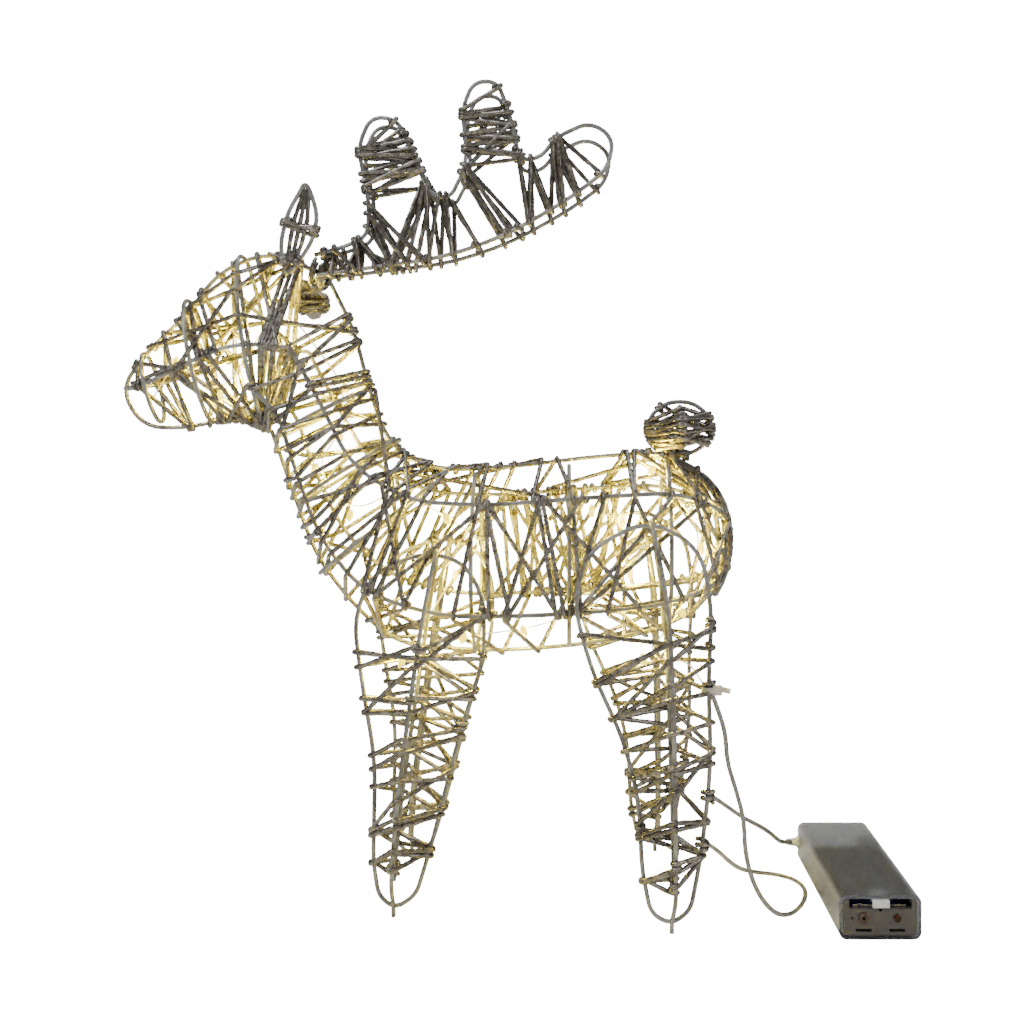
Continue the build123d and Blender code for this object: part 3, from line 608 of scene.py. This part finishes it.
def soften(points, rounds):
    """Eases the corners of a line without moving its ends."""
    for _ in range(rounds):
        points[1:-1] = 0.5 * points[1:-1] + 0.25 * (points[:-2] + points[2:])
    return points


def eased(axis):
    return soften(resample(axis, AXIS_STEP), AXIS_ROUNDS)


def unit(vector):
    vector = np.asarray(vector, float)
    return vector / max(np.linalg.norm(vector), LEAST_LENGTH)


def carried_frames(points):
    """Directions across a line that turn with it and don't twist."""
    along = np.gradient(points, axis=0)
    along /= np.maximum(np.linalg.norm(along, axis=1), LEAST_LENGTH)[:, None]
    across = np.zeros_like(along)
    across[0] = unit(np.cross(along[0], ASKEW))
    for i in range(1, len(points)):
        across[i] = unit(across[i - 1] - along[i] * (across[i - 1] @ along[i]))
    return across, np.cross(along, across)


def skin_faces(rings, sides):
    """The faces of a closed solid whose vertices come ring by ring."""
    faces = []
    for i in range(rings - 1):
        for k in range(sides):
            a, b = i * sides + k, i * sides + (k + 1) % sides
            faces.append((a, b, b + sides, a + sides))
    faces.append(tuple(range(sides - 1, -1, -1)))
    faces.append(tuple(range((rings - 1) * sides, rings * sides)))
    return faces


def tube(points, profile, twist):
    """A profile, as (angle, radius) rows, carried along a line while it twists."""
    across, up = carried_frames(points)
    turn = np.arange(len(points))[:, None] * length_of(points).mean() * twist + profile[:, 0]
    radius = profile[:, 1]
    ring = points[:, None] + (np.cos(turn) * radius)[..., None] * across[:, None] + (
        np.sin(turn) * radius)[..., None] * up[:, None]
    return ring.reshape(-1, 3), skin_faces(len(points), len(profile))


def two_ply(width, thickness, sides):
    """The profile of two cores side by side in one sheath."""
    angles = np.linspace(0, 2 * math.pi, sides, endpoint=False)
    return np.stack([angles, width / 2 * (thickness + (1 - thickness) * np.cos(angles) ** 2)], axis=1)


# --- finding the frame wires ----------------------------------------------------------------------

MESHES = {}


def triangles_of(node):
    """The corners of a node's triangles, and which way each faces."""
    if node not in MESHES:
        mesh = NODES[node].data
        mesh.calc_loop_triangles()
        points = np.array([v.co for v in mesh.vertices], float)
        corners = points[np.array([t.vertices[:] for t in mesh.loop_triangles], int)]
        facing = np.cross(corners[:, 1] - corners[:, 0], corners[:, 2] - corners[:, 0])
        facing /= np.maximum(np.linalg.norm(facing, axis=1), LEAST_AREA)[:, None]
        MESHES[node] = (corners, facing)
    return MESHES[node]


def cuts(nodes, origin, normal, reach):
    """Where a plane cuts the wires near its origin: each wire's middle there, and its direction."""
    found = []
    for node in nodes:
        triangles, facing = triangles_of(node)
        height = (triangles - origin) @ normal
        crossing = (height.min(1) < 0) & (height.max(1) > 0)
        hit, level, facing = triangles[crossing], height[crossing], facing[crossing]
        places, turned = [], []
        for a, b in ((0, 1), (1, 2), (2, 0)):
            both = level[:, a] * level[:, b] < 0
            share = (level[both, a] / (level[both, a] - level[both, b]))[:, None]
            places.append(hit[both, a] + share * (hit[both, b] - hit[both, a]))
            turned.append(facing[both])
        places, turned = np.concatenate(places), np.concatenate(turned)
        while len(places):
            near = np.linalg.norm(places - places[0], axis=1) < SAME_WIRE
            group, sides = places[near], turned[near]
            middle = (group.max(0) + group.min(0)) / 2
            if np.linalg.norm(middle - origin) < reach and np.ptp(group, axis=0).max() < WIDEST_CUT:
                found.append((middle, np.linalg.eigh(sides.T @ sides)[1][:, 0]))
            places, turned = places[~near], turned[~near]
    return found


def closest(found, place):
    return min(found, key=lambda peg: np.linalg.norm(peg[0] - place))


def peg_at(nodes, place):
    """The wire nearest to a place: its middle and direction there."""
    found = cuts(nodes, place, LENGTHWAYS, PEG_REACH) + cuts(nodes, place, UPWARDS, PEG_REACH)
    return closest(found, place)


def slid(nodes, peg, normal, distance, reach):
    """A peg moved along its wire, as far as the plane at a distance from its own."""
    middle, along = peg
    lean = along @ normal
    if abs(distance) < LEAST_SLIDE or abs(lean) < LEAST_LEAN:
        return peg
    found = cuts(nodes, middle + normal * distance, normal, reach)
    goal = middle + along * (distance / lean)
    if not found:
        return peg
    moved = closest(found, goal)
    return moved if np.linalg.norm(moved[0] - goal) < SLIDE_ERROR else peg


def hull(flat):
    """The indexes of the points on a flat cloud's outside, anticlockwise."""
    order = sorted(range(len(flat)), key=lambda i: tuple(flat[i]))

    def half(indexes):
        chain = []
        for i in indexes:
            while len(chain) > 1:
                u, v = flat[chain[-1]] - flat[chain[-2]], flat[i] - flat[chain[-2]]
                if u[0] * v[1] - u[1] * v[0] > LEAST_CORNER:
                    break
                chain.pop()
            chain.append(i)
        return chain

    lower, upper = half(order), half(order[::-1])
    return lower[:-1] + upper[:-1]


def ring_at(nodes, origin, normal, reach, upright):
    """The wires that a taut turn bears on, in order round the plane's normal."""
    found = cuts(nodes, origin, normal, reach)
    if len(found) < 2:
        return []
    first = unit(np.cross(upright, normal))
    second = np.cross(normal, first)
    flat = np.array([(middle @ first, middle @ second) for middle, _ in found])
    return [found[i] for i in hull(flat)]


# --- winding the strand ---------------------------------------------------------------------------

def wind(nodes, axis, turns, lean, twist, reach, rng, swing=SWING, least=3, upright=SIDEWAYS):
    """The pegs of one strand in turns along an axis. Each turn's plane leans by an angle in a range of
    degrees, and twist pulls each turn's spans out of that plane. A turn has at least so many pegs."""
    pegs = []
    pitch = np.linalg.norm(axis[-1] - axis[0]) / max(turns - 1, 1)
    for k in range(turns):
        share = (k + TURN_JITTER * rng.random()) / max(turns - 1, 1)
        at = min(int(share * (len(axis) - 1)), len(axis) - 2)
        along = unit(axis[min(at + AXIS_SPAN, len(axis) - 1)] - axis[max(at - AXIS_SPAN, 0)])
        up = np.cross(along, upright)
        tilt, turn = math.radians(rng.uniform(*lean)), math.radians(rng.uniform(-swing, swing))
        normal = unit(along * math.cos(tilt) + up * math.sin(tilt) + upright * math.sin(turn))
        ring = ring_at(nodes, axis[at], normal, reach, upright)
        if len(ring) < least:
            continue
        if pegs:
            start = min(range(len(ring)), key=lambda i: np.linalg.norm(ring[i][0] - pegs[-1][0]))
            ring = ring[start + 1:] + ring[:start + 1]
        phase = rng.random() * math.pi
        for j, peg in enumerate(ring):
            pull = twist * math.sin(2 * math.pi * PULLS * j / len(ring) + phase)
            pegs.append(slid(nodes, peg, normal, pitch * j / len(ring) + pull, reach))
    return pegs


def lash(pegs, core, rng, knots):
    """A taut strand over a row of pegs that bends round the core, with whole turns round some pegs."""
    line = []
    last = len(pegs) - 1
    for k, (place, along) in enumerate(pegs):
        before = pegs[k - 1][0] if k else 2 * place - pegs[1][0]
        after = pegs[k + 1][0] if k < last else 2 * place - before
        into, out = (unit(v - along * (v @ along)) for v in (place - before, after - place))
        first = np.cross(into, along)
        outward = place - core[np.linalg.norm(core - place, axis=1).argmin()]
        first *= 1 if first @ outward > 0 else -1
        sweep = math.atan2(-(out @ first), out @ into) % (2 * math.pi)
        if sweep > WIDEST_BEND:
            sweep = 0
        knotted = k in (0, last) or rng.random() < knots
        drift = along * STRAND * rng.choice((-KNOT_DRIFT, KNOT_DRIFT)) if knotted else along * 0
        sweep += 2 * math.pi * knotted
        radius = (WIRE + STRAND) / 2 - PRESSED + rng.random() * SLACK * MM
        for share in np.linspace(0, 1, max(2, int(sweep / ARC_STEP) + 1)):
            angle = sweep * share
            line.append(place + drift * (share - 0.5)
                        + radius * (math.cos(angle) * first + math.sin(angle) * into))
    return line


def coil(peg, turns, radius, pitch=STRAND):
    """Close turns of strand round one wire."""
    middle, along = peg
    first = unit(np.cross(along, ASKEW))
    second = np.cross(along, first)
    angles = np.linspace(0, 2 * math.pi * turns, COIL_POINTS * turns)
    rise = (angles / (2 * math.pi) - turns / 2) * pitch
    return [middle + along * up + radius * (math.cos(a) * first + math.sin(a) * second)
            for a, up in zip(angles, rise)]


def layered(nodes, axis, layers, reach, rng, lowest=0, **more):
    """Several strands over one another, none below the lowest height."""
    core = eased(axis)
    lines = []
    for turns, lean, twist, knots in layers:
        pegs = wind(nodes, core, turns, lean, twist * MM, reach, rng, **more)
        pegs = [peg for peg in pegs if peg[0][2] > lowest]
        if len(pegs) > 2:
            lines.append(lash(pegs, core, rng, knots))
    return lines


def spans(table, axis, rng, shifts):
    """The listed spans on the near side, and copies of them on the far side, each moved by a shift."""
    core = eased(axis)
    lines = []
    for side, move in ((-1, 0), *((1, shift) for shift in shifts)):
        for places in table:
            pegs = [peg_at(CAGE, home(x + move, side * y, z)) for x, y, z in places]
            lines.append(lash(pegs, core, rng, SPAN_KNOTS))
    return lines


def middle_of(node):
    low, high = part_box(node)
    return (np.array(low) + np.array(high)) / 2


def placed(points):
    return [home(*point) for point in points]


def rump_strands():
    """Strands that run side by side down the rump, from the tail's foot."""
    lines = []
    for k in range(RUMP_COUNT):
        side = (-1) ** k * (RUMP_FIRST + RUMP_GAP * k)
        line = [home(x - RUMP_BEND * k ** 2, side * spread, z) for x, z, spread in RUMP_CURVE]
        lines.append(soften(resample(line, RUMP_STEP), RUMP_ROUNDS))
    return lines


def body_windings(rng):
    hoops = [middle_of(node) for node in BODY_HOOPS]
    axis = [*hoops, hoops[-1] + BODY_END]
    return (layered(TRUNK, axis, BODY_LAYERS, BODY_REACH, rng) + spans(BODY_SPANS, axis, rng, BODY_SHIFTS)
            + rump_strands())


def neck_windings(rng):
    return layered(TRUNK, placed(NECK_AXIS), NECK_LAYERS, NECK_REACH, rng)


def crown_strands():
    """Strands that run side by side over the crown."""
    lines = []
    for offset in CROWN_OFFSETS:
        curve = placed((x, times * offset, z) for x, times, z in CROWN_CURVE)
        lines.append(soften(resample(curve, MM), CROWN_ROUNDS))
    return lines


def head_windings(rng):
    axis = placed(HEAD_AXIS)
    root = (home(*ROOT_PLACE), unit(ROOT_DIRECTION))
    bundle = placed(BUNDLE_AXIS)
    return (crown_strands() + [coil(root, *values) for values in ROOT_COILS]
            + layered(SKULL, axis, HEAD_LAYERS, HEAD_REACH, rng)
            + layered(SKULL, bundle, BUNDLE_LAYERS, BUNDLE_REACH, rng, swing=BUNDLE_SWING)
            + spans(HEAD_SPANS, axis, rng, HEAD_SHIFTS))


def leg_windings(end, side, rng):
    """Turns round a leg, and the coils that hold the lead to the rear left one."""
    nodes = [f"{end}_leg_loop_{side}", f"{end}_leg_hairpin_{side}"]
    axis = []
    for z in LEG_HEIGHTS:
        found = cuts(nodes[:1], home(0, 0, z), UPWARDS, LOOP_REACH)
        axis.append(sum(middle for middle, _ in found) / len(found))
    lines = layered(nodes, axis, LEG_LAYERS, LEG_REACH, rng, lowest=LEG_LOWEST)
    if (end, side) == ("rear", "left"):
        for place in LEAD_HELD:
            peg = peg_at(nodes[:1], home(*place))
            lines.append(coil(peg, HOLDING_TURNS, (WIRE + STRAND) / 2 + HOLDING_GAP))
    return lines


def antler_place(side, x, z):
    """A point in the plane of an antler, which spreads outwards to the rear."""
    return home(x, SIGNS[side] * (ANTLER_ROOT_Y + ANTLER_SPREAD * (x - ANTLER_ROOT_X)), z)


def antler_fan(side, edges, count, core, rng):
    """One strand to and fro between two edges of an antler."""
    upper_from, upper_to, lower_from, lower_to = edges
    pegs = []
    for k in range(count):
        for first, last, share in ((upper_from, upper_to, k), (lower_from, lower_to, k + 0.5)):
            share = (share + FAN_JITTER * rng.random()) / count
            x, z = (a + (b - a) * share for a, b in zip(first, last))
            pegs.append(peg_at([f"antler_wire_{side}"], antler_place(side, x, z)))
    return lash(pegs, core, rng, SPAN_KNOTS)


def antler_windings(side, rng):
    """Fans between the edges, turns round each tine and round the stem."""
    nodes = [f"antler_wire_{side}"]
    core = eased([antler_place(side, x, z) for x, z in ANTLER_CORE])
    lines = [antler_fan(side, edges, count, core, rng) for *edges, count in ANTLER_FANS]
    for ends in TINE_AXES:
        axis = [antler_place(side, x, z) for x, z in ends]
        lines += layered(nodes, axis, TINE_LAYERS, TINE_REACH, rng, swing=0, least=2)
    stem = [antler_place(side, x, z) for x, z in STEM_AXIS]
    return lines + layered(nodes, stem, STEM_LAYERS, STEM_REACH, rng, least=2)


def ear_place(side, across, z):
    """A point of an ear, from its middle line, leant out and turned as the ear is."""
    lean, swing = math.radians(EAR_LEAN[side]), math.radians(EAR_SWING[side])
    ahead, up = EAR_SLOPE * (z - EAR_FOOT[2]) + across, z - EAR_FOOT[2]
    out = up * math.sin(lean)
    along = ahead * math.cos(swing) - out * math.sin(swing)
    aside = ahead * math.sin(swing) + out * math.cos(swing)
    return home(EAR_FOOT[0] + along, SIGNS[side] * (EAR_FOOT[1] + aside),
                EAR_FOOT[2] + up * math.cos(lean))


def ear_windings(side, rng):
    """Turns round the foot and across the middle, and strands that run up to the tip."""
    lines = []
    for start, end, turns in EAR_TURNS[side]:
        axis = [ear_place(side, 0, start), ear_place(side, 0, end)]
        layers = ((turns, EAR_LEANS, 0, EAR_KNOTS),)
        lines += layered([f"ear_wire_{side}"], axis, layers, EAR_REACH, rng, least=2, upright=EAR_ACROSS)
    for across in EAR_LONG[side]:
        lines.append([ear_place(side, across * share, z) for share, z in EAR_CURVE])
    return lines


def tail_windings(rng):
    middle = middle_of("tail_loops")
    axis = [middle + (0, 0, end) for end in TAIL_AXIS]
    return layered(["tail_loops"], axis, TAIL_LAYERS, TAIL_REACH, rng, swing=TAIL_SWING)


def winding_jobs():
    """What draws the lines of each winding, by the CAD node that it stands for."""
    jobs = {
        "body_strand": body_windings,
        "neck_strand": neck_windings,
        "head_strand": head_windings,
        "tail_strand": tail_windings,
        "ear_strands": lambda rng: ear_windings("left", rng) + ear_windings("right", rng),
    }
    for side in SIGNS:
        jobs[f"antler_strand_{side}"] = lambda rng, side=side: antler_windings(side, rng)
        for end in ("front", "rear"):
            jobs[f"{end}_leg_strand_{side}"] = lambda rng, end=end, side=side: leg_windings(end, side, rng)
    return jobs


def add_strands(finish):
    """Every winding, each in place of the plain one that the CAD holds."""
    profile = two_ply(STRAND, STRAND_THICKNESS, STRAND_SIDES)
    for seed, (node, job) in enumerate(sorted(winding_jobs().items()), FIRST_SEED):
        lines = [soften(resample(line, STRAND_STEP), 1) for line in job(random.Random(seed))]
        solid = joined(tube(line, profile, STRAND_TWIST) for line in lines)
        piece = add_piece(f"{node}_twisted", *solid, finish, "wound_strand")
        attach(piece, "root")
        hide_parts(node)


# --- lead -----------------------------------------------------------------------------------------

def smooth_line(route):
    """The points of the NURBS line that a route's points control, in the frame's metres."""
    curve = bpy.data.curves.new("route", "CURVE")
    curve.dimensions = "3D"
    spline = curve.splines.new("NURBS")
    spline.points.add(len(route) - 1)
    for point, place in zip(spline.points, placed(route)):
        point.co = (*place, 1)
    spline.order_u = 3
    spline.use_endpoint_u = True
    spline.resolution_u = ROUTE_POINTS
    holder = bpy.data.objects.new("route", curve)
    mesh = bpy.data.meshes.new_from_object(holder)
    line = np.array([v.co for v in mesh.vertices], float)
    bpy.data.objects.remove(holder)
    bpy.data.meshes.remove(mesh)
    bpy.data.curves.remove(curve)
    return line


def add_leads(finish):
    """The two free stretches of the lead."""
    profile = two_ply(LEAD, LEAD_THICKNESS, LEAD_SIDES)
    for node, route, with_pieces in (("loop_lead", LOOP_ROUTE, ["cable_tie"]), ("box_lead", BOX_ROUTE, [])):
        line = resample(smooth_line(route), LEAD_STEP)
        piece = add_piece(f"{node}_two_core", *tube(line, profile, LEAD_TWIST), finish, "lead")
        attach(piece, "root")
        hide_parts(node)


# --- bulbs ----------------------------------------------------------------------------------------

def loose_parts(node):
    """The middles of a node's separate solids."""
    left = np.array([v.co for v in NODES[node].data.vertices], float)
    found = []
    while len(left):
        near = np.linalg.norm(left - left[0], axis=1) < BULB_APART
        found.append((left[near].max(0) + left[near].min(0)) / 2)
        left = left[~near]
    return found


def bead(place, rng):
    """A resin drop round one lamp, with a neck at each end where the wires go in."""
    turn = rng.random() * BEAD_TURN
    tilt = [rng.uniform(-BEAD_TILT, BEAD_TILT) for _ in range(2)]
    tip = Vector((*tilt, 1)).to_track_quat("Z", "Y")
    vertices = []
    for radius, height in BEAD_OUTLINE:
        for k in range(BEAD_SIDES):
            angle = 2 * math.pi * k / BEAD_SIDES
            across = radius * (1 + BEAD_SWELL * math.sin(BEAD_LOBES * angle + turn))
            point = tip @ Vector((across * math.cos(angle), across * math.sin(angle), height))
            vertices.append(place + np.array(point) * MM)
    return vertices, skin_faces(len(BEAD_OUTLINE), BEAD_SIDES)


def add_lamp(place):
    """The light that one bulb gives."""
    lamp = add_object("glow", bpy.data.lights.new("glow", "POINT"))
    lamp.location = place
    lamp.data.energy = LAMP_POWER
    lamp.data.color = LAMP_COLOUR
    lamp.data.shadow_soft_size = LAMP_RADIUS


def add_bulbs(finish):
    rng = random.Random(BULB_SEED)
    places = loose_parts("light_bulbs")
    solid = joined([bead(place, rng) for place in places])
    for place in places:
        add_lamp(place)
    piece = add_piece("bulb_beads", *solid, finish, "bulb")
    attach(piece, "root")
    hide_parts("light_bulbs")


# --- the whole ------------------------------------------------------------------------------------

def main():
    make_camera()
    add_leads(lead_finish())
    make_studio()
    paint_cad()
    add_strands(strand_finish())
    add_bulbs(bulb_finish())


main()
